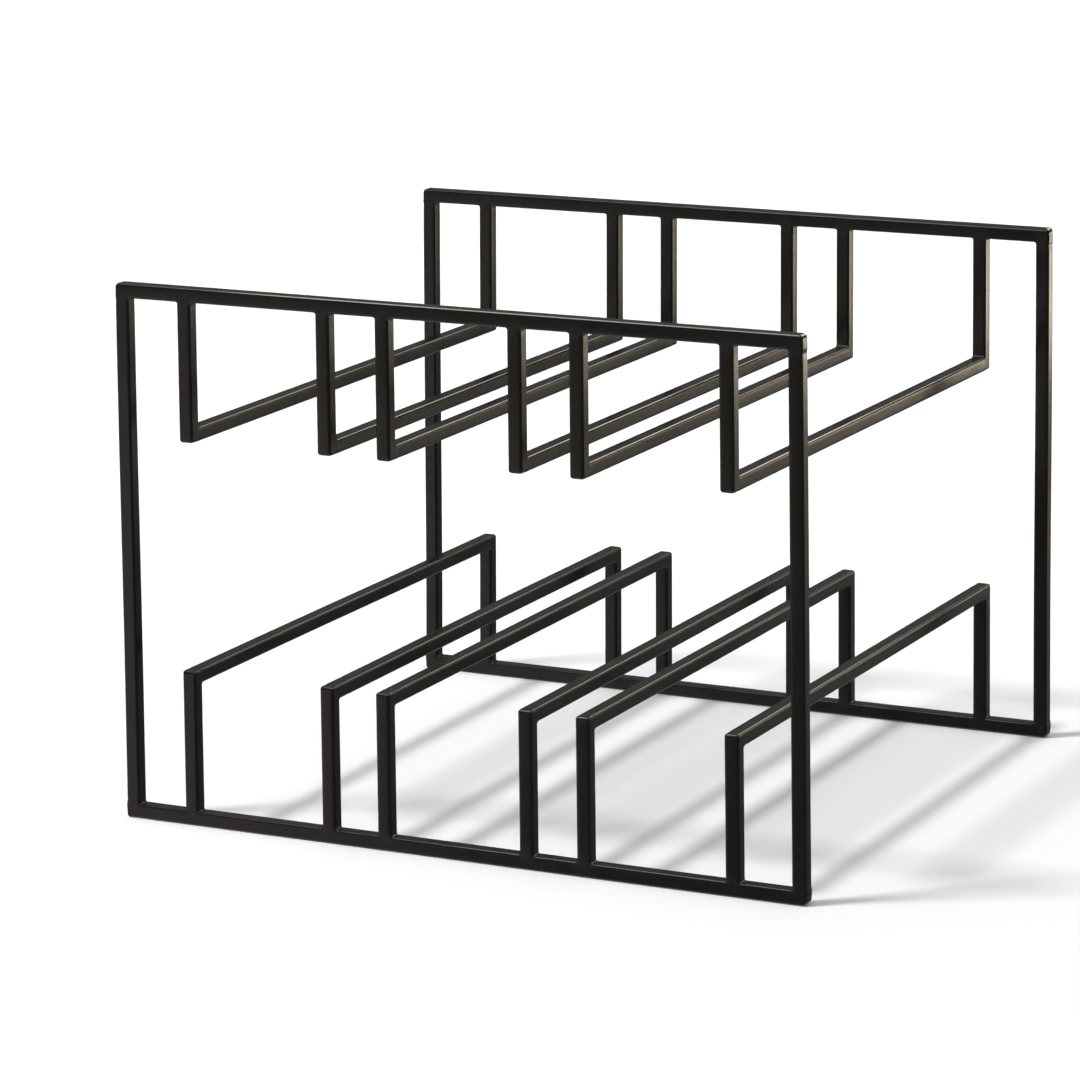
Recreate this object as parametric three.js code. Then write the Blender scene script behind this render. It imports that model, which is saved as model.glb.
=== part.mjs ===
// Six-bottle wine rack, welded from square steel bar and powder-coated black.
// Units are millimetres. +X is the rack's right, -Y its front, +Z up.
// The origin is on the floor, under the middle of the rack.
//
// Two upright rectangular frames, one in front and one behind, carry two rows
// of three cradles. A cradle is a pair of rails that run from front to back.
// The lower rails stand on legs, and the upper rails hang from hangers. Every
// joint is the square end of one bar welded to the flat of another.

import * as THREE from "three";

// ---- Bar stock ----
const BAR = 6;                    // side of the square section
const EDGE_RADIUS = 1;            // rounding of the four long edges
const EDGE_FLATS = 4;             // flats that make up one rounded edge, an even number

// ---- Frames ----
const RACK_HEIGHT = 222;
const RACK_DEPTH = 272;

// ---- Cradles, measured clear between the bars ----
const CRADLE_OPENING = 57;        // between the two rails of a cradle
const UPPER_MIDDLE_OPENING = 52;  // the upper middle cradle is a little narrower
const LOWER_CRADLE_GAP = 19;      // between neighbouring lower cradles
const UPPER_CRADLE_GAP = 20.5;    // between neighbouring upper cradles
const POST_GAP = 21.5;            // from an outer lower leg to the corner post

// ---- Legs and hangers ----
const LEG_LENGTH = 59;            // from the bottom bar up to the top of a lower rail
const HANGER_LENGTH = 57;         // from the top bar down to the underside of an upper rail

// ---- Coating ----
const BLACK_POWDER_COAT = { color: 0x262322, roughness: 0.45, metalness: 0.2 };

/** Left faces of the rails of one row, for a row of cradles centred on x = 0. */
function railPositions(openings, gap) {
  const cradleWidths = openings.map((opening) => opening + 2 * BAR);
  const rowWidth = cradleWidths.reduce((sum, width) => sum + width, gap * (openings.length - 1));
  const positions = [];
  let cradleLeft = -rowWidth / 2;
  for (const width of cradleWidths) {
    positions.push(cradleLeft, cradleLeft + width - BAR);
    cradleLeft += width + gap;
  }
  return positions;
}

const lowerRailX = railPositions(
  [CRADLE_OPENING, CRADLE_OPENING, CRADLE_OPENING],
  LOWER_CRADLE_GAP,
);
const upperRailX = railPositions(
  [CRADLE_OPENING, UPPER_MIDDLE_OPENING, CRADLE_OPENING],
  UPPER_CRADLE_GAP,
);

// The frames are as wide as the lower row with a gap and a post at each end.
const rackWidth = 2 * (BAR + POST_GAP - lowerRailX[0]);

// Lowest coordinates of the bars.
const leftX = -rackWidth / 2;
const rightX = rackWidth / 2 - BAR;
const frontY = -RACK_DEPTH / 2;
const rearY = RACK_DEPTH / 2 - BAR;
const railY = frontY + BAR;
const topBarZ = RACK_HEIGHT - BAR;
const lowerRailZ = LEG_LENGTH;
const upperRailZ = topBarZ - HANGER_LENGTH;

/** The bar's section: a square from (0, 0) to (BAR, BAR) with rounded corners. */
function barSection() {
  const near = EDGE_RADIUS;
  const far = BAR - EDGE_RADIUS;
  const section = new THREE.Shape();
  section.absarc(far, near, EDGE_RADIUS, -Math.PI / 2, 0, false);
  section.absarc(far, far, EDGE_RADIUS, 0, Math.PI / 2, false);
  section.absarc(near, far, EDGE_RADIUS, Math.PI / 2, Math.PI, false);
  section.absarc(near, near, EDGE_RADIUS, Math.PI, 1.5 * Math.PI, false);
  return section;
}

/** A bar that runs along "x", "y" or "z" from the origin, its lowest corner there. */
function barGeometry(axis, length) {
  const geometry = new THREE.ExtrudeGeometry(barSection(), {
    depth: length,
    bevelEnabled: false,
    curveSegments: EDGE_FLATS / 2, // an arc is split into twice this many flats
  });
  if (axis === "x") {
    geometry.rotateY(Math.PI / 2);
    geometry.translate(0, 0, BAR);
  }
  if (axis === "y") {
    geometry.rotateX(-Math.PI / 2);
    geometry.translate(0, 0, BAR);
  }
  return geometry;
}

/** One named bar of the rack, with its lowest corner at `corner`. */
function makeBar(name, axis, length, corner) {
  const material = new THREE.MeshStandardMaterial(BLACK_POWDER_COAT);
  const bar = new THREE.Mesh(barGeometry(axis, length), material);
  bar.name = name;
  bar.position.set(...corner);
  return bar;
}

/** An upright frame: two full-width bars, with a post between them at each end. */
function makeFrame(side, y) {
  const postLength = RACK_HEIGHT - 2 * BAR;
  const frame = new THREE.Group();
  frame.add(
    makeBar(`${side}_bottom_bar`, "x", rackWidth, [leftX, y, 0]),
    makeBar(`${side}_top_bar`, "x", rackWidth, [leftX, y, topBarZ]),
    makeBar(`${side}_left_post`, "z", postLength, [leftX, y, BAR]),
    makeBar(`${side}_right_post`, "z", postLength, [rightX, y, BAR]),
  );
  return frame;
}

/** A lower rail between two legs that stand on the bottom bars. */
function makeLowerRail(number, x) {
  const support = new THREE.Group();
  support.add(
    makeBar(`lower_rail_${number}`, "y", rearY - railY, [x, railY, lowerRailZ]),
    makeBar(`front_leg_${number}`, "z", LEG_LENGTH, [x, frontY, BAR]),
    makeBar(`rear_leg_${number}`, "z", LEG_LENGTH, [x, rearY, BAR]),
  );
  return support;
}

/** An upper rail between two hangers that come down from the top bars. */
function makeUpperRail(number, x) {
  const support = new THREE.Group();
  support.add(
    makeBar(`upper_rail_${number}`, "y", rearY - railY, [x, railY, upperRailZ]),
    makeBar(`front_hanger_${number}`, "z", HANGER_LENGTH, [x, frontY, upperRailZ]),
    makeBar(`rear_hanger_${number}`, "z", HANGER_LENGTH, [x, rearY, upperRailZ]),
  );
  return support;
}

const rack = new THREE.Group();
rack.name = "wine_rack";
rack.add(makeFrame("front", frontY), makeFrame("rear", rearY));
lowerRailX.forEach((x, index) => rack.add(makeLowerRail(index + 1, x)));
upperRailX.forEach((x, index) => rack.add(makeUpperRail(index + 1, x)));

export default rack;
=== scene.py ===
"""A welded steel wine rack for six bottles, built and lit for a studio picture.

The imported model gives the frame. Each of its bars is modelled again here with
the things that a hand-welded bar has: rounded edges, ground ends, fillets and
swellings at the welds, and a satin black powder coat. Lengths are in metres.
"""

import logging
import math
from dataclasses import dataclass, field
from enum import Enum
from typing import Iterable, Sequence

import bpy
from mathutils import Euler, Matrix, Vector


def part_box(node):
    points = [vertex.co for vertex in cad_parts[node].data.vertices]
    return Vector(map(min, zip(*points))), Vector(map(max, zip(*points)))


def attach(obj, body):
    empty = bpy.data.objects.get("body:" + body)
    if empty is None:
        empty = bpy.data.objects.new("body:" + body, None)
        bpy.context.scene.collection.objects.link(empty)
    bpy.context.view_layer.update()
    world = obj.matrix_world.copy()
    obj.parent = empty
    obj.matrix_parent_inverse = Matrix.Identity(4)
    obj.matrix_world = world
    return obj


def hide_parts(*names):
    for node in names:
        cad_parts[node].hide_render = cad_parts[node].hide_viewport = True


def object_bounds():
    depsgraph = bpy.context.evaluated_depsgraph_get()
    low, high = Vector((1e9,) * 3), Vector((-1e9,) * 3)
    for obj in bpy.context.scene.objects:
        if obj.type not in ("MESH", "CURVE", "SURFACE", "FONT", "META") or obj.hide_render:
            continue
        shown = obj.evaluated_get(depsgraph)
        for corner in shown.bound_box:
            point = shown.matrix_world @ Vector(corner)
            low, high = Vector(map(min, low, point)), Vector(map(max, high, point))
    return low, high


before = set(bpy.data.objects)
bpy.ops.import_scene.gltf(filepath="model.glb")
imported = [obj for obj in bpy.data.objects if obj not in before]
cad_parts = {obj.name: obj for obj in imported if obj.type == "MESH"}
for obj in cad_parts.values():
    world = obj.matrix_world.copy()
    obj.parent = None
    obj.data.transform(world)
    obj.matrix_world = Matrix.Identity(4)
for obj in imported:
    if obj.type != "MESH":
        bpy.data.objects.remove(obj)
CAD_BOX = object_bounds()

LOG = logging.getLogger("wine_rack")
MM = 0.001
BODY = "root"
RAIL_NUMBERS = range(1, 7)

Stops = Sequence[tuple[float, float]]


# ---------------------------------------------------------------------------
# Shader building
# ---------------------------------------------------------------------------


class Wire:
    """A node's output socket that takes part in ordinary arithmetic."""

    def __init__(self, board: "NodeBoard", socket: bpy.types.NodeSocket) -> None:
        """Wraps one socket.

        Args:
            board: The node board that new Math nodes are added to.
            socket: The output socket to wrap.
        """
        self.board = board
        self.socket = socket

    def math(self, operation: str, *others: "Wire | float") -> "Wire":
        """Adds one Math node that works on this value.

        Args:
            operation: The Math node's operation.
            others: The further operands, in order.

        Returns:
            The node's result.
        """
        values = dict(enumerate((self, *others)))
        return self.board.add("ShaderNodeMath", {"operation": operation}, values)

    def __add__(self, other: "Wire | float") -> "Wire":
        """Returns this value plus another."""
        return self.math("ADD", other)

    __radd__ = __add__

    def __mul__(self, other: "Wire | float") -> "Wire":
        """Returns this value times another."""
        return self.math("MULTIPLY", other)

    __rmul__ = __mul__

    def __sub__(self, other: "Wire | float") -> "Wire":
        """Returns this value less another."""
        return self.math("SUBTRACT", other)

    def __rsub__(self, other: float) -> "Wire":
        """Returns a number less this value."""
        return self.math("MULTIPLY_ADD", -1.0, other)


class NodeBoard:
    """The node tree of one material or world, filled by a single method."""

    def __init__(self, tree: bpy.types.NodeTree) -> None:
        """Empties the tree.

        Args:
            tree: The node tree to fill.
        """
        self.tree = tree
        self.tree.nodes.clear()

    def add(
        self,
        kind: str,
        settings: dict[str, object] | None = None,
        inputs: dict[str | int, object] | None = None,
        output: str | int = 0,
    ) -> Wire:
        """Adds a node, then its settings, then the values or links of its sockets.

        Args:
            kind: The node's type.
            settings: The node's own properties. "stops" holds a ramp's stops.
            inputs: Input sockets by name or number, each a value or a Wire.
            output: The output socket that is returned.

        Returns:
            The chosen output, wrapped.
        """
        node = self.tree.nodes.new(kind)
        for name, value in (settings or {}).items():
            if name == "stops":
                self._set_stops(node.color_ramp, value)
            else:
                setattr(node, name, value)
        for key, value in (inputs or {}).items():
            if isinstance(value, Wire):
                self.tree.links.new(value.socket, node.inputs[key])
            else:
                node.inputs[key].default_value = value
        return Wire(self, node.outputs[output]) if node.outputs else Wire(self, None)

    @staticmethod
    def _set_stops(ramp: bpy.types.ColorRamp, stops: Stops) -> None:
        """Gives a ramp its stops, each a place and a grey level.

        Args:
            ramp: The ramp to set.
            stops: At least two pairs of place and level, in order.
        """
        while len(ramp.elements) < len(stops):
            ramp.elements.new(0.5)
        for element, (place, level) in zip(ramp.elements, stops):
            element.position = place
            element.color = (level, level, level, 1.0)

    def noise(
        self, place: Wire, per_metre: float, detail: float, roughness: float = 0.5
    ) -> Wire:
        """Adds a noise pattern.

        Args:
            place: The coordinates that it follows.
            per_metre: How many of its features fit in a metre.
            detail: Its octaves.
            roughness: How strong its finer octaves are.

        Returns:
            Its value, from 0 to 1.
        """
        values = {
            "Vector": place,
            "Scale": per_metre,
            "Detail": detail,
            "Roughness": roughness,
        }
        return self.add("ShaderNodeTexNoise", None, values)

    def ramp(self, value: Wire, stops: Stops) -> Wire:
        """Passes a value through a ramp of grey levels.

        Args:
            value: The value that goes in.
            stops: Pairs of place and level.

        Returns:
            The level at that value.
        """
        return self.add("ShaderNodeValToRGB", {"stops": stops}, {"Fac": value})

    def blend(self, share: Wire, first: object, second: object) -> Wire:
        """Mixes two colours.

        Args:
            share: How much of the second colour shows.
            first: A colour or a Wire.
            second: A colour or a Wire.

        Returns:
            The mixed colour.
        """
        values = {0: share, 6: first, 7: second}
        return self.add("ShaderNodeMix", {"data_type": "RGBA"}, values, 2)


# ---------------------------------------------------------------------------
# Finishes
# ---------------------------------------------------------------------------


@dataclass(frozen=True)
class PowderCoat:
    """A satin black powder coat baked on steel.

    The film has a fine sandy grain, a slow orange peel and a few pinholes. It
    lies thinner and a little duller where a weld was ground under it.
    """

    name: str = "black_powder_coat"
    deep: tuple[float, float, float, float] = (0.0045, 0.0041, 0.0038, 1.0)
    pale: tuple[float, float, float, float] = (0.0095, 0.0086, 0.0078, 1.0)
    ground: tuple[float, float, float, float] = (0.0140, 0.0122, 0.0105, 1.0)
    roughness: float = 0.16
    specular: float = 0.25
    grains_per_metre: float = 2400.0
    grain_height: float = 0.000009
    peel_per_metre: float = 420.0
    peel_height: float = 0.000010
    pinholes_per_metre: float = 700.0
    pinhole_depth: float = 0.00001
    ripple_per_metre: float = 260.0
    ripple_height: float = 0.00004
    clouds_per_metre: float = 38.0
    smudges_per_metre: float = 90.0
    weld_attribute: str = "weld_zone"

    def make(self) -> bpy.types.Material:
        """Builds the material.

        Returns:
            The finished material.
        """
        material = bpy.data.materials.new(self.name)
        material.use_nodes = True
        board = NodeBoard(material.node_tree)
        place = board.add("ShaderNodeTexCoord", None, None, "Object")
        zone = board.add(
            "ShaderNodeAttribute", {"attribute_name": self.weld_attribute}, None, "Fac"
        )
        grain = board.noise(place, self.grains_per_metre, 2.0, 0.6)
        clouds = board.noise(place, self.clouds_per_metre, 4.0)
        smudges = board.noise(place, self.smudges_per_metre, 3.0, 0.6)
        shader = board.add(
            "ShaderNodeBsdfPrincipled",
            None,
            {
                "Base Color": self._colour(board, grain, clouds, zone),
                "Roughness": self._gloss(board, grain, smudges, zone),
                "Specular IOR Level": self.specular,
                "Normal": self._surface(board, place, grain, zone),
            },
        )
        board.add("ShaderNodeOutputMaterial", None, {"Surface": shader})
        return material

    def _colour(self, board: NodeBoard, grain: Wire, clouds: Wire, zone: Wire) -> Wire:
        """Mottles the black by cloud and grain, and lightens it over the welds.

        Args:
            board: The material's nodes.
            grain: The sandy grain.
            clouds: The slow change of film thickness.
            zone: How near a weld the surface is.

        Returns:
            The base colour.
        """
        share = board.ramp(clouds * 0.6 + grain * 0.4, [(0.3, 0.0), (0.7, 1.0)])
        film = board.blend(share, self.deep, self.pale)
        thin = board.ramp(zone * grain, [(0.35, 0.0), (0.75, 0.7)])
        return board.blend(thin, film, self.ground)

    def _gloss(self, board: NodeBoard, grain: Wire, smudges: Wire, zone: Wire) -> Wire:
        """Varies the roughness by handling marks, grain and weld.

        Args:
            board: The material's nodes.
            grain: The sandy grain.
            smudges: The handling marks.
            zone: How near a weld the surface is.

        Returns:
            The roughness.
        """
        marks = board.ramp(smudges, [(0.35, 0.0), (0.7, 1.0)])
        return self.roughness + marks * 0.05 + grain * 0.06 + zone * 0.05

    def _surface(self, board: NodeBoard, place: Wire, grain: Wire, zone: Wire) -> Wire:
        """Stacks the relief of the film, from ripple over welds down to pinholes.

        Args:
            board: The material's nodes.
            place: The coordinates that the pattern follows.
            grain: The sandy grain.
            zone: How near a weld the surface is.

        Returns:
            The bent normal.
        """
        peel = board.noise(place, self.peel_per_metre, 2.0)
        ripple = board.noise(place, self.ripple_per_metre, 2.0) * zone
        cells = board.add(
            "ShaderNodeTexVoronoi",
            None,
            {"Vector": place, "Scale": self.pinholes_per_metre},
        )
        holes = board.ramp(cells, [(0.05, 0.0), (0.14, 1.0)])
        height = (
            grain * self.grain_height
            + peel * self.peel_height
            + ripple * self.ripple_height
            + holes * self.pinhole_depth
        )
        scaled = height * (1.0 / MM)
        values = {"Strength": 1.0, "Distance": MM, "Height": scaled}
        return board.add("ShaderNodeBump", None, values)


@dataclass(frozen=True)
class PaleFloor:
    """The matt white board that the rack stands on, with a soft patch of shade painted into
    its colour to the rack's right.
    """

    name: str = "pale_floor"
    light: tuple[float, float, float, float] = (0.83, 0.83, 0.83, 1.0)
    dark: tuple[float, float, float, float] = (0.80, 0.80, 0.80, 1.0)
    # Painted shade: the grey of a soft round patch of floor to the rack's right, where
    # shadow is painted into the colour.
    painted_shade: tuple[float, float, float, float] = (0.69, 0.69, 0.695, 1.0)
    painted_shade_place: tuple[float, float, float] = (0.30, 0.0, 0.0)
    painted_shade_radius: float = 0.75
    mottles_per_metre: float = 6.0

    def make(self) -> bpy.types.Material:
        """Builds the material.

        Returns:
            The finished material.
        """
        material = bpy.data.materials.new(self.name)
        material.use_nodes = True
        board = NodeBoard(material.node_tree)
        place = board.add("ShaderNodeTexCoord", None, None, "Object")
        mottle = board.noise(place, self.mottles_per_metre, 3.0)
        board_tone = board.blend(mottle, self.light, self.dark)
        values = {
            "Vector": place,
            "Location": Vector(self.painted_shade_place) / -self.painted_shade_radius,
            "Scale": Vector((1.0, 1.0, 1.0)) / self.painted_shade_radius,
        }
        painted_shade_spot = board.add("ShaderNodeMapping", None, values)
        nearness = board.add(
            "ShaderNodeTexGradient", {"gradient_type": "SPHERICAL"}, {"Vector": painted_shade_spot}, "Fac"
        )
        # Painted shade: a soft round grey patch, darkest at its middle, is blended into the
        # floor's colour.
        share = board.ramp(nearness, [(0.0, 0.0), (0.3, 0.35), (0.8, 1.0)])
        values = {"Color": board.blend(share, board_tone, self.painted_shade)}
        shader = board.add("ShaderNodeBsdfDiffuse", None, values)
        board.add("ShaderNodeOutputMaterial", None, {"Surface": shader})
        return material


# ---------------------------------------------------------------------------
# Bar making
# ---------------------------------------------------------------------------


class Seam(Enum):
    """How one side of a bar runs into the bar that it is welded to."""

    FILLET = "fillet"
    FLUSH = "flush"
    SWELL = "swell"


class Lay(Enum):
    """How an upright bar is turned, in degrees about X, Y and Z, to its place."""

    UPRIGHT = (0, 0, 0)
    UPRIGHT_TURNED = (0, 0, 180)
    HANGING = (0, 180, 0)
    HANGING_TURNED = (180, 0, 0)
    ALONG_DEPTH = (-90, 0, 0)
    ALONG_DEPTH_TURNED = (-90, 180, 0)
    ALONG_WIDTH = (0, 90, 0)


def ease(value: float) -> float:
    """Returns a smooth step of a value between 0 and 1."""
    share = min(max(value, 0.0), 1.0)
    return share * share * (3.0 - 2.0 * share)


def descent(height: float, start: float, run: float) -> float:
    """Returns how far a change that runs down from a start height has come."""
    return ease((start - height) / run)


def quarter_round(radius: float, depth: float) -> float:
    """Works out how far a quarter round stands off at a depth.

    Args:
        radius: The radius of the round.
        depth: The distance from the plane that the round ends in.

    Returns:
        The offset, from 0 at a depth of one radius to the radius at 0.
    """
    gap = radius - min(max(depth, 0.0), radius)
    return radius - math.sqrt(max(radius * radius - gap * gap, 0.0))


@dataclass(frozen=True)
class Ring:
    """One cross-section of a bar: its height, and each side's reach past the stock.

    The sides are always in the order left, right, front and back.
    """

    height: float
    reach: tuple[float, float, float, float] = (0.0, 0.0, 0.0, 0.0)


@dataclass(frozen=True)
class WeldedEnd:
    """An end that is welded to another bar.

    A filleted side spreads on to the other bar. A flush side runs on over the
    other bar's rounded edge and was ground level with it. A swelling side
    covers the other bar's end with a low lump.
    """

    left: Seam
    right: Seam
    front: Seam
    back: Seam
    fillet: float = 0.5 * MM
    pinch: float = 0.05 * MM
    swelling: float = 0.28 * MM
    proud: float = 0.02 * MM
    tuck: float = 0.06 * MM
    fillet_overlap: float = 0.1 * MM
    flush_start: float = 1.9 * MM
    flush_run: float = 1.5 * MM
    edge_depth: float = 0.8 * MM
    edge_run: float = 1.2 * MM
    pinch_start: float = 3.2 * MM
    pinch_run: float = 1.6 * MM
    lump_start: float = 1.3 * MM
    lump_run: float = 1.8 * MM
    lump_depth: float = 2.2 * MM
    lump_fall: float = 2.0 * MM
    rings_above: tuple[float, ...] = (1.3, 1.9, 2.7, 3.6, 4.8, 6.4)
    rings_below: tuple[float, ...] = (-2.0, -1.5, -0.8, -0.4)
    rings_under_swelling: tuple[float, ...] = (-4.5, -3.6, -2.6)

    @property
    def heights(self) -> list[float]:
        """The heights of its rings above the other bar's face, from the lowest."""
        below = self.rings_below
        if Seam.SWELL in self.seams:
            below = self.rings_under_swelling + below
        arc = [self.fillet * (1 - math.sin(math.radians(a))) for a in range(90, -1, -15)]
        return [h * MM for h in below] + arc + [h * MM for h in self.rings_above]

    @property
    def seams(self) -> tuple[Seam, Seam, Seam, Seam]:
        """The four sides' seams."""
        return self.left, self.right, self.front, self.back

    def rings(self) -> list[Ring]:
        """Works out the cross-sections of the end.

        Returns:
            The rings, from deepest inside the other bar to plain stock.
        """
        return [Ring(h, tuple(self._reach(s, h) for s in self.seams)) for h in self.heights]

    def _reach(self, seam: Seam, height: float) -> float:
        """Works out how far a side stands past the stock.

        Args:
            seam: What the side does.
            height: The height above the other bar's face.

        Returns:
            The reach, below 0 where the side is under the stock's face.
        """
        if seam is Seam.FILLET:
            overlap = self.fillet_overlap if height < 0 else 0.0
            return quarter_round(self.fillet, height) + overlap
        if seam is Seam.FLUSH:
            rise = descent(height, self.flush_start, self.flush_run)
            fall = descent(height, -self.edge_depth, self.edge_run)
            return self.proud * rise - (self.proud + self.tuck) * fall
        dip = descent(height, self.pinch_start, self.pinch_run)
        lump = descent(height, self.lump_start, self.lump_run)
        fall = descent(height, -self.lump_depth, self.lump_fall)
        rise = -self.pinch * dip + (self.pinch + self.swelling) * lump
        return rise - (self.swelling + self.tuck) * fall


@dataclass(frozen=True)
class GroundEnd:
    """A free end whose four edges were ground round, each to its own radius."""

    left: float
    right: float
    front: float
    back: float
    extra: float = 0.0
    plain_rings: tuple[float, ...] = (3.2, 4.4, 6.0)

    def rings(self) -> list[Ring]:
        """Works out the cross-sections of the end.

        Returns:
            The rings, from the end face up to plain stock.
        """
        radii = (self.left, self.right, self.front, self.back)
        largest = max(radii)
        turns = [largest * (1 - math.cos(math.radians(a))) for a in range(0, 91, 15)]
        depths = turns + [d * MM for d in self.plain_rings]
        return [
            Ring(d - self.extra, tuple(-quarter_round(r, d) for r in radii)) for d in depths
        ]


BarEnd = WeldedEnd | GroundEnd


class Bench:
    """The modelling moves that every bar is made with."""

    @staticmethod
    def clear() -> None:
        """Leaves edit mode and deselects everything."""
        if bpy.context.object and bpy.context.object.mode != "OBJECT":
            bpy.ops.object.mode_set(mode="OBJECT")
        bpy.ops.object.select_all(action="DESELECT")

    @classmethod
    def take(cls, piece: bpy.types.Object) -> None:
        """Makes a piece the only one selected, and the active one."""
        cls.clear()
        piece.select_set(True)
        bpy.context.view_layer.objects.active = piece

    @staticmethod
    def select_long_edges(piece: bpy.types.Object, length: float) -> None:
        """Selects the edges that are longer than a length, from edit mode.

        Args:
            piece: The piece in edit mode.
            length: The least length of an edge to select.
        """
        bpy.ops.mesh.select_all(action="DESELECT")
        bpy.ops.object.mode_set(mode="OBJECT")
        points = piece.data.vertices
        for edge in piece.data.edges:
            first, second = (points[i].co for i in edge.vertices)
            edge.select = (first - second).length > length
        bpy.ops.object.mode_set(mode="EDIT")

    @classmethod
    def place(cls, piece: bpy.types.Object, lay: Lay, centre: Vector) -> None:
        """Turns and moves a piece, and puts its place in its mesh.

        Args:
            piece: The piece, at the origin.
            lay: How it is turned.
            centre: Where its middle goes.
        """
        cls.take(piece)
        piece.rotation_euler = Euler([math.radians(a) for a in lay.value])
        piece.location = centre
        bpy.ops.object.transform_apply(location=True, rotation=True, scale=True)

    @classmethod
    def apply(cls, piece: bpy.types.Object, kind: str, **settings: object) -> None:
        """Adds a modifier to a piece and applies it.

        Args:
            piece: The piece to change.
            kind: The modifier's type.
            settings: The modifier's own properties.
        """
        cls.take(piece)
        modifier = piece.modifiers.new(kind.lower(), kind)
        for name, value in settings.items():
            setattr(modifier, name, value)
        bpy.ops.object.modifier_apply(modifier=modifier.name)


@dataclass(frozen=True)
class BarStock:
    """Square steel bar with rounded edges, drawn out ring by ring."""

    width: float
    edge_radius: float = 1.0 * MM
    edge_flats: int = 5
    face_cuts: int = 2
    coarse_step: float = 4.0 * MM
    fine_step: float = 1.5 * MM

    def draw(
        self,
        name: str,
        length: float,
        low: BarEnd,
        high: BarEnd,
        busy: Iterable[float] = (),
        busy_reach: float = 9.0 * MM,
    ) -> bpy.types.Object:
        """Models one bar upright, with its middle at the origin.

        Args:
            name: The bar's name.
            length: Its length.
            low: Its lower end.
            high: Its upper end.
            busy: Heights, from the middle, where other bars meet it.
            busy_reach: How far to each side of those the rings stay close.

        Returns:
            The bar.
        """
        rings = self._rings(length, low, high, tuple(busy), busy_reach)
        Bench.clear()
        bpy.ops.mesh.primitive_plane_add(size=self.width, location=(0, 0, rings[0].height))
        bar = bpy.context.object
        bar.name = bar.data.name = name
        bpy.ops.object.transform_apply(location=True, rotation=False, scale=False)
        bpy.ops.object.mode_set(mode="EDIT")
        bpy.ops.mesh.select_all(action="SELECT")
        bpy.ops.mesh.bevel(
            offset_type="OFFSET",
            offset=self.edge_radius,
            segments=self.edge_flats,
            affect="VERTICES",
        )
        Bench.select_long_edges(bar, self.width / 2)
        bpy.ops.mesh.subdivide(number_cuts=self.face_cuts)
        bpy.ops.mesh.select_all(action="SELECT")
        self._stretch(Ring(rings[0].height), rings[0])
        for below, ring in zip(rings, rings[1:]):
            rise = (0.0, 0.0, ring.height - below.height)
            bpy.ops.mesh.extrude_region_move(TRANSFORM_OT_translate={"value": rise})
            self._stretch(Ring(ring.height, below.reach), ring)
        bpy.ops.mesh.select_all(action="SELECT")
        bpy.ops.mesh.normals_make_consistent(inside=False)
        bpy.ops.object.mode_set(mode="OBJECT")
        return bar

    def _rings(
        self,
        length: float,
        low: BarEnd,
        high: BarEnd,
        busy: tuple[float, ...],
        busy_reach: float,
    ) -> list[Ring]:
        """Lists a bar's cross-sections from bottom to top.

        Args:
            length: The bar's length.
            low: Its lower end.
            high: Its upper end.
            busy: Heights where other bars meet it.
            busy_reach: How far to each side of those the rings stay close.

        Returns:
            The rings, with heights from the middle of the bar.
        """
        half = length / 2
        lower = [Ring(r.height - half, r.reach) for r in low.rings()]
        upper = [Ring(half - r.height, r.reach) for r in reversed(high.rings())]
        middle: list[Ring] = []
        height, stop = lower[-1].height, upper[0].height
        while True:
            near = any(abs(height - b) < busy_reach for b in busy)
            height += self.fine_step if near else self.coarse_step
            if height > stop - self.fine_step:
                break
            middle.append(Ring(height))
        return lower + middle + upper

    def _stretch(self, now: Ring, wanted: Ring) -> None:
        """Resizes and shifts the selected cross-section.

        Args:
            now: The cross-section as it is.
            wanted: The cross-section as it has to be.
        """
        now_size, now_middle = self._extent(now)
        size, middle = self._extent(wanted)
        factor = (size[0] / now_size[0], size[1] / now_size[1], 1.0)
        shift = (middle[0] - now_middle[0], middle[1] - now_middle[1], 0.0)
        if max(abs(f - 1.0) for f in factor) > 1e-6:
            centre = (now_middle[0], now_middle[1], wanted.height)
            bpy.ops.transform.resize(value=factor, center_override=centre)
        if max(abs(s) for s in shift) > 1e-9:
            bpy.ops.transform.translate(value=shift)

    def _extent(self, ring: Ring) -> tuple[tuple[float, float], tuple[float, float]]:
        """Works out a cross-section's width and depth, and its middle.

        Args:
            ring: The cross-section.

        Returns:
            The two sizes, and the two coordinates of the middle.
        """
        left, right, front, back = ring.reach
        size = (self.width + left + right, self.width + front + back)
        return size, ((right - left) / 2, (back - front) / 2)


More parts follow.
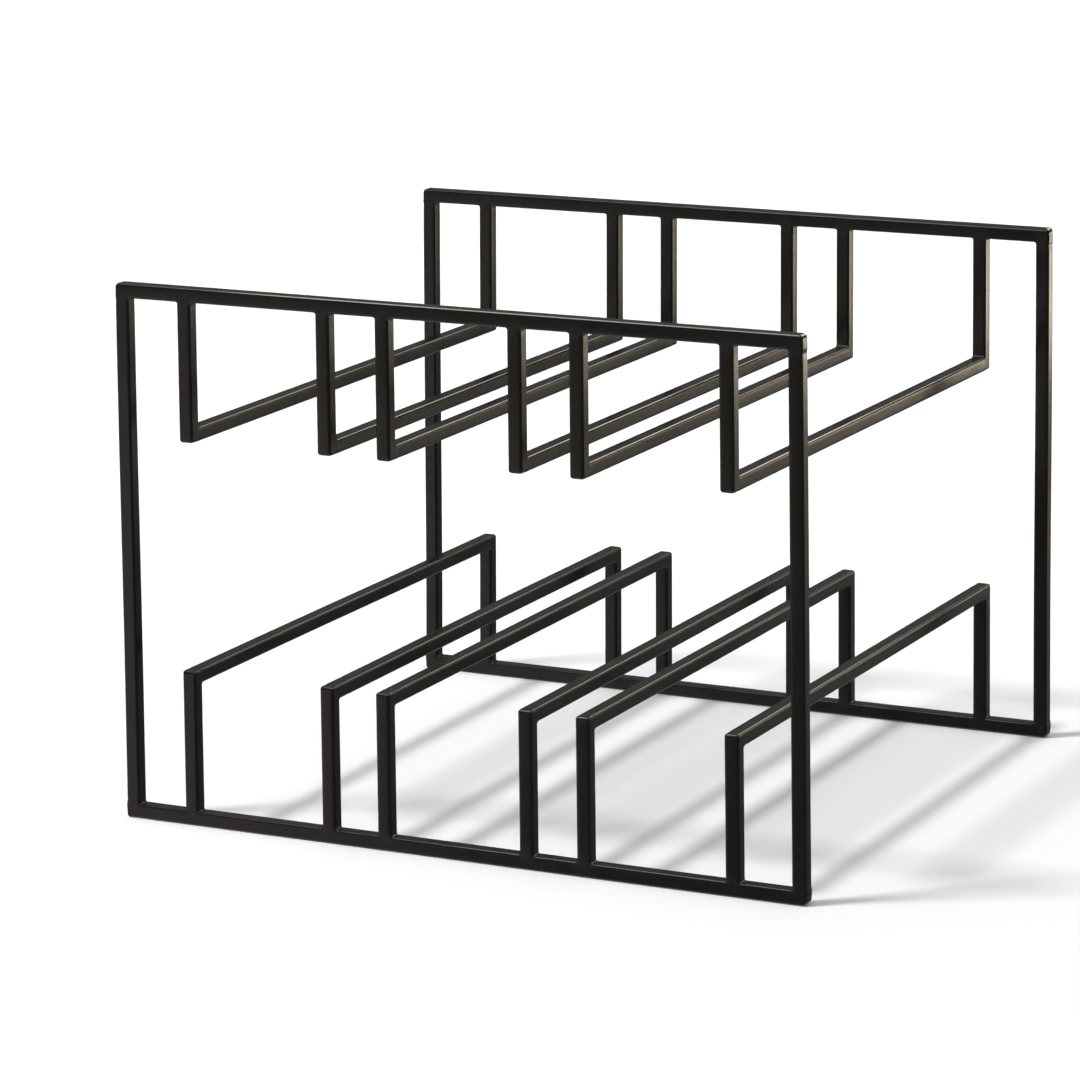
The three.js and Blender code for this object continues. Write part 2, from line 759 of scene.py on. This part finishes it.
@dataclass
class HandWork:
    """What the welder's hand leaves: bars not quite straight, welds not quite flat."""

    joints: list[Vector]
    zone: float = 8.0 * MM
    core: float = 3.0 * MM
    lump_size: float = 4.5 * MM
    lump_height: float = 0.12 * MM
    sway_size: float = 150.0 * MM
    sway: float = 0.6 * MM
    draw_in: float = 1.6 * MM
    spread: float = 0.9 * MM
    attribute: str = "weld_zone"
    group: str = "near_welds"
    lumps: bpy.types.Texture = field(init=False)
    bends: bpy.types.Texture = field(init=False)

    def __post_init__(self) -> None:
        """Makes the two patterns that the bars are pushed by."""
        self.lumps = bpy.data.textures.new("weld_lumps", "CLOUDS")
        self.lumps.noise_scale = self.lump_size
        self.lumps.noise_depth = 1
        self.bends = bpy.data.textures.new("bar_bends", "CLOUDS")
        self.bends.noise_scale = self.sway_size
        self.bends.noise_depth = 0

    def work(self, bar: bpy.types.Object) -> None:
        """Marks the weld zones of a bar that is in place, and makes it uneven.

        Args:
            bar: The bar, with its place in its mesh.
        """
        shares = [self._nearness(v.co) for v in bar.data.vertices]
        group = bar.vertex_groups.new(name=self.group)
        for index, share in enumerate(shares):
            group.add([index], share, "REPLACE")
        marks = bar.data.attributes.new(self.attribute, "FLOAT", "POINT")
        marks.data.foreach_set("value", shares)
        Bench.apply(
            bar,
            "DISPLACE",
            texture=self.lumps,
            texture_coords="LOCAL",
            direction="NORMAL",
            mid_level=0.5,
            strength=self.lump_height,
            vertex_group=self.group,
        )
        self._pull(bar)
        for direction in ("X", "Y"):
            Bench.apply(
                bar,
                "DISPLACE",
                texture=self.bends,
                texture_coords="LOCAL",
                direction=direction,
                mid_level=0.5,
                strength=self.sway,
            )

    def _pull(self, bar: bpy.types.Object) -> None:
        """Draws a bar in towards the rack's middle above, and out below.

        Args:
            bar: The bar, with its place in its mesh.
        """
        low, high = CAD_BOX
        for vertex in bar.data.vertices:
            across = 2.0 * vertex.co.x / (high.x - low.x)
            above = (vertex.co.z - low.z) / (high.z - low.z)
            pull = self.draw_in * above - self.spread * (1.0 - above)
            vertex.co.x -= across * pull

    def _nearness(self, point: Vector) -> float:
        """Works out how near a weld a point is.

        Args:
            point: A point on a bar.

        Returns:
            1 at the nearest weld, falling to 0 at the edge of its zone.
        """
        distance = min((point - joint).length for joint in self.joints)
        return ease((self.zone - distance) / (self.zone - self.core))


# ---------------------------------------------------------------------------
# The rack
# ---------------------------------------------------------------------------


def middle(node: str) -> Vector:
    """Returns the middle of a CAD node's box."""
    low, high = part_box(node)
    return (low + high) / 2


def extent(node: str) -> Vector:
    """Returns the size of a CAD node's box."""
    low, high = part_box(node)
    return high - low


class Row(Enum):
    """A row of cradles, with the names of its rails and uprights."""

    LOWER = ("lower_rail", "leg")
    UPPER = ("upper_rail", "hanger")


class Face(Enum):
    """The rack's two welded end frames."""

    FRONT = "front"
    REAR = "rear"


def weld_points() -> list[Vector]:
    """Finds where bars are welded together.

    Returns:
        The middle of each welded face.
    """
    points = []
    for face in Face:
        for side in ("left", "right"):
            low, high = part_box(f"{face.value}_{side}_post")
            centre = (low + high) / 2
            points += [Vector((centre.x, centre.y, z)) for z in (low.z, high.z)]
        for number in RAIL_NUMBERS:
            leg_low, leg_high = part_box(f"{face.value}_leg_{number}")
            hanger_low, hanger_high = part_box(f"{face.value}_hanger_{number}")
            leg, hanger = (leg_low + leg_high) / 2, (hanger_low + hanger_high) / 2
            points.append(Vector((leg.x, leg.y, leg_low.z)))
            points.append(Vector((hanger.x, hanger.y, hanger_high.z)))
    for row in Row:
        for number in RAIL_NUMBERS:
            low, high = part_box(f"{row.value[0]}_{number}")
            centre = (low + high) / 2
            points += [Vector((centre.x, y, centre.z)) for y in (low.y, high.y)]
    return points


@dataclass
class RackPart:
    """What the rack's sub-assemblies share: stock, coat and the welder's hand."""

    stock: BarStock
    coat: bpy.types.Material
    hand: HandWork

    def fit(self, pattern: bpy.types.Object, node: str, lay: Lay) -> bpy.types.Object:
        """Copies a bar to the place of a CAD node, works it, coats it and rides it.

        Args:
            pattern: The bar that was modelled once.
            node: The CAD node that the copy stands for.
            lay: How the copy is turned.

        Returns:
            The copy, with its own mesh.
        """
        bar = pattern.copy()
        bar.data = pattern.data.copy()
        bar.name = bar.data.name = f"{node}_coated"
        bpy.context.scene.collection.objects.link(bar)
        Bench.place(bar, lay, middle(node))
        self.hand.work(bar)
        self.dress(bar)
        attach(bar, BODY)
        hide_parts(node)
        LOG.info("%s: %d faces", bar.name, len(bar.data.polygons))
        return bar

    def dress(self, bar: bpy.types.Object) -> None:
        """Coats a bar and smooths its shading without rounding its flat faces.

        Args:
            bar: The bar to dress.
        """
        bar.data.materials.clear()
        bar.data.materials.append(self.coat)
        Bench.take(bar)
        bpy.ops.object.shade_smooth()
        Bench.apply(bar, "WEIGHTED_NORMAL", mode="FACE_AREA", weight=100)

    @staticmethod
    def discard(*patterns: bpy.types.Object) -> None:
        """Removes the patterns once their copies are in place."""
        for pattern in patterns:
            bpy.data.objects.remove(pattern, do_unlink=True)


@dataclass
class EndFrame(RackPart):
    """One rectangular end frame: a bar above, a bar below and two posts."""

    face: Face
    left_foot_round: float = 1.2 * MM
    right_foot_round: float = 2.3 * MM
    crown_round: float = 1.7 * MM
    end_round: float = 1.0 * MM
    joint_round: float = 0.5 * MM
    end_lump: float = 0.12 * MM
    upper_fillet: float = 0.75 * MM
    upper_pinch: float = 0.14 * MM
    upper_swelling: float = 0.08 * MM
    lower_fillet: float = 0.40 * MM

    def build(self) -> list[bpy.types.Object]:
        """Models the frame's four bars.

        Returns:
            The bars in place.
        """
        name = self.face.value
        post = self._post(f"{name}_left_post")
        bottom = self._rail_bar(f"{name}_bottom_bar", "leg")
        top = self._rail_bar(f"{name}_top_bar", "hanger")
        bars = [
            self.fit(post, f"{name}_left_post", Lay.UPRIGHT_TURNED),
            self.fit(post, f"{name}_right_post", Lay.UPRIGHT),
            self.fit(bottom, f"{name}_bottom_bar", Lay.ALONG_WIDTH),
            self.fit(top, f"{name}_top_bar", Lay.ALONG_WIDTH),
        ]
        self.discard(post, bottom, top)
        return bars

    def _post(self, node: str) -> bpy.types.Object:
        """Models a post, whose left side is the one inside the frame.

        Args:
            node: The CAD node that gives its length.

        Returns:
            The pattern of the post.
        """
        seams = (Seam.FILLET, Seam.SWELL, Seam.FLUSH, Seam.FLUSH)
        low = WeldedEnd(*seams, self.lower_fillet)
        high = WeldedEnd(
            *seams, self.upper_fillet, self.upper_pinch, self.upper_swelling
        )
        return self.stock.draw("post_pattern", extent(node).z, low, high)

    def _rail_bar(self, node: str, uprights: str) -> bpy.types.Object:
        """Models the frame's top or bottom bar, whose left side ends up on top.

        Args:
            node: The CAD node that gives its length.
            uprights: The kind of upright that is welded to it.

        Returns:
            The pattern of the bar.
        """
        if uprights == "leg":
            rounds = (self.joint_round, self.left_foot_round)
            left = GroundEnd(*rounds, self.end_round, self.end_round, self.end_lump)
            rounds = (self.joint_round, self.right_foot_round)
            right = GroundEnd(*rounds, self.end_round, self.end_round, self.end_lump)
        else:
            rounds = (self.crown_round, self.joint_round)
            left = right = GroundEnd(*rounds, self.end_round, self.end_round)
        meeting = [f"{self.face.value}_{uprights}_{n}" for n in RAIL_NUMBERS]
        meeting += [f"{self.face.value}_{s}_post" for s in ("left", "right")]
        busy = [middle(m).x - middle(node).x for m in meeting]
        return self.stock.draw(f"{node}_pattern", extent(node).x, left, right, busy)


@dataclass
class CradleRow(RackPart):
    """One row of cradles: six rails, with an upright at each end of each."""

    row: Row
    nose_round: float = 1.4 * MM
    side_round: float = 1.1 * MM
    heel_round: float = 0.8 * MM
    leg_fillet: float = 0.35 * MM
    hanger_fillet: float = 0.75 * MM
    rail_fillet: float = 0.6 * MM

    def build(self) -> list[bpy.types.Object]:
        """Models the row's rails and uprights.

        Returns:
            The bars in place.
        """
        rails, uprights = self.row.value
        lower = self.row is Row.LOWER
        rail = self._rail(f"{rails}_1")
        upright = self._upright(f"front_{uprights}_1")
        rail_lay = Lay.ALONG_DEPTH if lower else Lay.ALONG_DEPTH_TURNED
        front_lay = Lay.UPRIGHT if lower else Lay.HANGING
        rear_lay = Lay.UPRIGHT_TURNED if lower else Lay.HANGING_TURNED
        bars = []
        for number in RAIL_NUMBERS:
            bars.append(self.fit(rail, f"{rails}_{number}", rail_lay))
            bars.append(self.fit(upright, f"front_{uprights}_{number}", front_lay))
            bars.append(self.fit(upright, f"rear_{uprights}_{number}", rear_lay))
        self.discard(rail, upright)
        return bars

    def _rail(self, node: str) -> bpy.types.Object:
        """Models a rail, whose back side ends up against the uprights' length.

        Args:
            node: The CAD node that gives its length.

        Returns:
            The pattern of the rail.
        """
        seams = (Seam.FLUSH, Seam.FLUSH, Seam.FLUSH, Seam.FILLET)
        end = WeldedEnd(*seams, self.rail_fillet)
        return self.stock.draw("rail_pattern", extent(node).y, end, end)

    def _upright(self, node: str) -> bpy.types.Object:
        """Models an upright, welded below and ground round above.

        Args:
            node: The CAD node that gives its length.

        Returns:
            The pattern of the upright.
        """
        seams = (Seam.FILLET, Seam.FILLET, Seam.FLUSH, Seam.FLUSH)
        lower = self.row is Row.LOWER
        foot = WeldedEnd(*seams, self.leg_fillet if lower else self.hanger_fillet)
        head = GroundEnd(
            self.side_round, self.side_round, self.nose_round, self.heel_round
        )
        length = extent(node).z
        busy = [length / 2 - extent(node).x / 2]
        return self.stock.draw("upright_pattern", length, foot, head, busy)


# ---------------------------------------------------------------------------
# The studio
# ---------------------------------------------------------------------------


@dataclass(frozen=True)
class Softbox:
    """A rectangular lamp that hangs off a point, faces it and only draws gloss."""

    name: str
    direction: tuple[float, float, float]
    distance: float
    width: float
    height: float
    power: float
    colour: tuple[float, float, float] = (1.0, 1.0, 1.0)

    def hang(self, aim: Vector) -> bpy.types.Object:
        """Hangs the lamp.

        Args:
            aim: The point that it faces.

        Returns:
            The lamp.
        """
        lamp = bpy.data.lights.new(self.name, "AREA")
        lamp.shape = "RECTANGLE"
        lamp.size, lamp.size_y = self.width, self.height
        lamp.energy = self.power
        lamp.color = self.colour
        holder = bpy.data.objects.new(self.name, lamp)
        bpy.context.scene.collection.objects.link(holder)
        away = Vector(self.direction).normalized()
        holder.location = aim + away * self.distance
        holder.rotation_euler = away.to_track_quat("Z", "Y").to_euler()
        holder.visible_camera = False
        holder.visible_diffuse = False
        return holder


@dataclass
class Studio:
    """A white board in a plain studio, with a high soft key light.

    The room's levels are stops from straight down, at 0, to straight up, at 1.
    """

    aim: Vector
    floor_width: float = 60.0
    key_direction: tuple[float, float, float] = (-0.36, -0.27, 0.89)
    key_strength: float = 2.4
    key_angle: float = 9.0
    sky_strength: float = 1.35
    sky_angle: float = 170.0
    backdrop: tuple[float, float, float, float] = (1.0, 1.0, 1.0, 1.0)
    backdrop_level: float = 1.05
    room_light: float = 3.0
    room_levels: Stops = (
        (0.12, 0.34),
        (0.32, 0.047),
        (0.47, 0.047),
        (0.52, 0.02),
        (0.95, 0.18),
    )
    camera_place: tuple[float, float, float] = (0.8237, -1.7302, 0.5428)
    camera_heading: float = 26.20
    camera_dip: float = 12.96
    camera_roll: float = -0.609
    camera_lens: float = 157.42

    def build(self) -> None:
        """Sets out the floor, the lamps, the room's light and the camera."""
        self._floor()
        self._far_lights()
        for box in self._softboxes():
            box.hang(self.aim)
        self._room()
        self._camera()
        bpy.context.scene.view_settings.view_transform = "Standard"

    def _floor(self) -> None:
        """Lays the white board."""
        Bench.clear()
        bpy.ops.mesh.primitive_plane_add(size=self.floor_width, location=(0, 0, 0))
        floor = bpy.context.object
        floor.name = floor.data.name = "studio_floor"
        floor.data.materials.append(PaleFloor().make())
        floor.visible_glossy = False

    def _far_lights(self) -> None:
        """Hangs the key light and the ceiling's bounce."""
        self._far_light("key_light", self.key_strength, self.key_angle)
        self._far_light("ceiling_bounce", self.sky_strength, self.sky_angle)

    def _far_light(self, name: str, strength: float, angle: float) -> None:
        """Hangs one light so far off that it falls evenly, and draws no gloss.

        Args:
            name: Its name.
            strength: Its strength in watts per square metre.
            angle: How wide it looks, in degrees.
        """
        lamp = bpy.data.lights.new(name, "SUN")
        lamp.energy = strength
        lamp.angle = math.radians(angle)
        holder = bpy.data.objects.new(name, lamp)
        bpy.context.scene.collection.objects.link(holder)
        direction = Vector(self.key_direction)
        holder.rotation_euler = direction.to_track_quat("Z", "Y").to_euler()
        holder.visible_glossy = False

    def _softboxes(self) -> list[Softbox]:
        """Lists the lamps that draw the bars' edges and sides."""
        return [
            Softbox(
                name="back_strip",
                direction=(0.49, 0.75, -0.014),
                distance=0.896,
                width=0.26,
                height=0.12,
                power=0.66,
                colour=(1.0, 0.89, 0.67),
            ),
            Softbox(
                name="back_skirt",
                direction=(0.27, 0.75, 0.0),
                distance=0.797,
                width=0.19,
                height=0.12,
                power=0.072,
                colour=(1.0, 0.87, 0.62),
            ),
            Softbox(
                name="low_glow",
                direction=(0.46, 0.75, -0.13),
                distance=0.889,
                width=0.26,
                height=0.13,
                power=0.042,
                colour=(1.0, 0.80, 0.62),
            ),
            Softbox(
                name="floor_glow",
                direction=(0.46, 0.75, -0.25),
                distance=0.915,
                width=0.34,
                height=0.13,
                power=0.022,
                colour=(1.0, 0.90, 0.82),
            ),
            Softbox(
                name="high_strip",
                direction=(0.20, 0.78, 0.475),
                distance=0.935,
                width=0.40,
                height=0.22,
                power=2.15,
                colour=(1.0, 0.93, 0.72),
            ),
            Softbox(
                name="overhead_strip",
                direction=(-0.37, -0.31, 0.73),
                distance=0.875,
                width=0.45,
                height=0.30,
                power=2.6,
                colour=(1.0, 0.955, 0.84),
            ),
            Softbox(
                name="near_strip",
                direction=(0.0, -0.156, 0.21),
                distance=0.262,
                width=0.30,
                height=0.09,
                power=1.2,
                colour=(1.0, 0.955, 0.84),
            ),
            Softbox(
                name="left_fill",
                direction=(-0.80, -0.75, -0.42),
                distance=1.3,
                width=0.9,
                height=0.8,
                power=2.2,
                colour=(1.0, 0.86, 0.82),
            ),
            Softbox(
                name="warm_wall",
                direction=(-0.33, -0.83, -0.16),
                distance=0.907,
                width=0.27,
                height=0.13,
                power=0.105,
                colour=(1.0, 0.76, 0.54),
            ),
        ]

    def _room(self) -> None:
        """Makes a white backdrop, and a room that is darkest at eye level."""
        world = bpy.data.worlds.new("studio_room")
        bpy.context.scene.world = world
        world.use_nodes = True
        board = NodeBoard(world.node_tree)
        way = board.add("ShaderNodeTexCoord", None, None, "Generated")
        height = board.add("ShaderNodeSeparateXYZ", None, {"Vector": way}, "Z")
        level = board.ramp(height * 0.5 + 0.5, self.room_levels)
        values = {"Color": level, "Strength": self.room_light}
        room = board.add("ShaderNodeBackground", None, values)
        white = board.add(
            "ShaderNodeBackground",
            None,
            {"Color": self.backdrop, "Strength": self.backdrop_level},
        )
        seen = board.add("ShaderNodeLightPath", None, None, "Is Camera Ray")
        mixed = board.add("ShaderNodeMixShader", None, {0: seen, 1: room, 2: white})
        board.add("ShaderNodeOutputWorld", None, {"Surface": mixed})

    def _camera(self) -> None:
        """Stands the camera in front of the rack, to its right and a little above."""
        data = bpy.data.cameras.new("camera")
        data.lens = self.camera_lens
        data.clip_start = 0.05
        data.clip_end = 100.0
        camera = bpy.data.objects.new("camera", data)
        bpy.context.scene.collection.objects.link(camera)
        heading, dip = math.radians(self.camera_heading), math.radians(self.camera_dip)
        ahead = Vector(
            (
                -math.sin(heading) * math.cos(dip),
                math.cos(heading) * math.cos(dip),
                -math.sin(dip),
            )
        )
        level = ahead.to_track_quat("-Z", "Y").to_matrix()
        roll = Euler((0.0, 0.0, math.radians(self.camera_roll))).to_matrix()
        camera.rotation_euler = (level @ roll).to_euler()
        camera.location = self.camera_place
        bpy.context.scene.camera = camera


def main() -> None:
    """Builds the rack and the studio."""
    logging.basicConfig(level=logging.INFO, format="%(name)s: %(message)s")
    stock = BarStock(width=extent("front_left_post").x)
    coat = PowderCoat().make()
    hand = HandWork(joints=weld_points())
    for face in Face:
        EndFrame(stock, coat, hand, face).build()
    for row in Row:
        CradleRow(stock, coat, hand, row).build()
    Studio(aim=(CAD_BOX[0] + CAD_BOX[1]) / 2).build()


if __name__ == "__main__":
    main()
